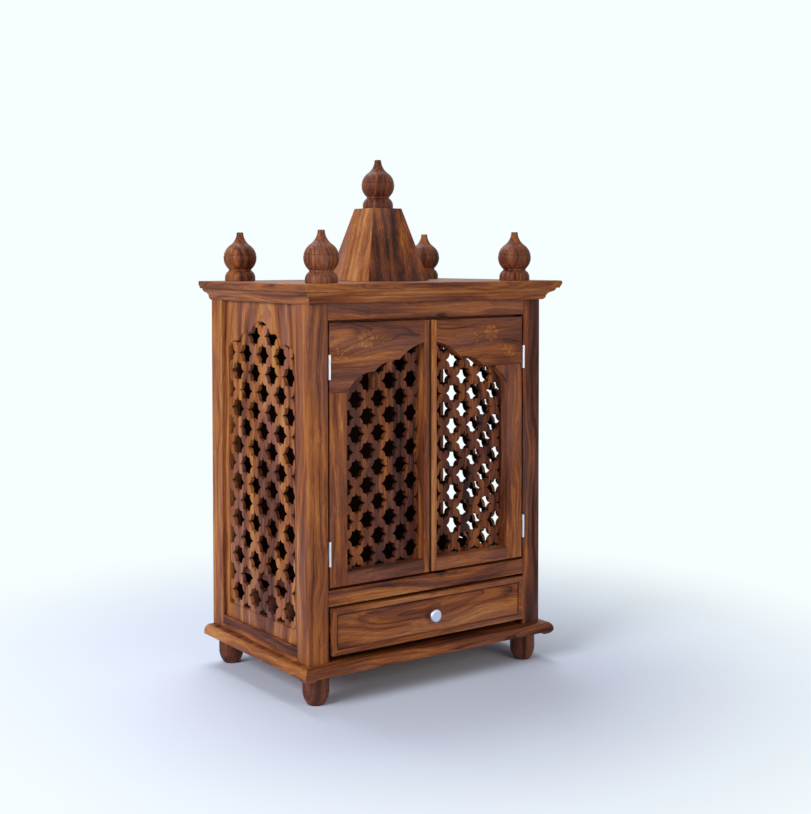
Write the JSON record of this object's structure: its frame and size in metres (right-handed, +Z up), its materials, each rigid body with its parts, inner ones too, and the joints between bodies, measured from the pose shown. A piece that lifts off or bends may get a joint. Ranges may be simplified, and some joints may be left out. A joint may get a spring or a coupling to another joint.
{
  "type": "home temple cabinet",
  "caption": "Wooden home temple cabinet with two pierced doors, pierced sides, one drawer, a moulded cornice, a tapered tower and turned finials, on four turned feet.",
  "frame": {"origin": "on the floor, under the middle of the cornice's width and depth", "axes": "+Z up, -Y the front with the doors and the drawer, +X to the right seen from the front"},
  "size_m": [0.6, 0.4, 1],
  "materials": {
    "sheesham": "satin",
    "hinge_steel": "satin",
    "knob_metal": "satin"
  },
  "bodies": {
    "cabinet": {"base_board": "sheesham", "foot_front_left": "sheesham", "foot_front_right": "sheesham", "foot_back_left": "sheesham", "foot_back_right": "sheesham", "post_front_left": "sheesham", "post_front_right": "sheesham", "post_back_left": "sheesham", "post_back_right": "sheesham", "front_top_rail": "sheesham", "front_middle_rail": "sheesham", "left_bottom_rail": "sheesham", "right_bottom_rail": "sheesham", "left_jali_panel": "sheesham", "right_jali_panel": "sheesham", "back_panel": "sheesham", "chamber_floor": "sheesham", "drawer_runners": "sheesham", "top_board": "sheesham", "cornice_front": "sheesham", "cornice_left": "sheesham", "cornice_right": "sheesham", "tower": "sheesham", "tower_cap": "sheesham", "centre_finial": "sheesham", "finial_front_left": "sheesham", "finial_front_right": "sheesham", "finial_back_left": "sheesham", "finial_back_right": "sheesham", "cabinet_hinge_leaves": "hinge_steel"},
    "left_door": {"left_door_hinge_stile": "sheesham", "left_door_meeting_stile": "sheesham", "left_door_top_rail": "sheesham", "left_door_bottom_rail": "sheesham", "left_door_jali": "sheesham", "left_door_hinge_leaves": "hinge_steel"},
    "right_door": {"right_door_hinge_stile": "sheesham", "right_door_meeting_stile": "sheesham", "right_door_top_rail": "sheesham", "right_door_bottom_rail": "sheesham", "right_door_jali": "sheesham", "right_door_hinge_leaves": "hinge_steel"},
    "drawer": {"drawer_front": "sheesham", "drawer_border": "sheesham", "drawer_box": "sheesham", "drawer_bottom": "sheesham", "drawer_knob": "knob_metal"}
  },
  "joints": [
    {"name": "left_door_hinge", "type": "hinge", "parent": "cabinet", "child": "left_door", "pos_m": [-0.2276, -0.1668, 0.45], "axis": [0, 0, -1], "range_deg": [0, 170]},
    {"name": "right_door_hinge", "type": "hinge", "parent": "cabinet", "child": "right_door", "pos_m": [0.2276, -0.1668, 0.45], "axis": [0, 0, 1], "range_deg": [0, 170]},
    {"name": "drawer_slide", "type": "slide", "parent": "cabinet", "child": "drawer", "axis": [0, -1, 0], "range_m": [0, 0.2]}
  ]
}
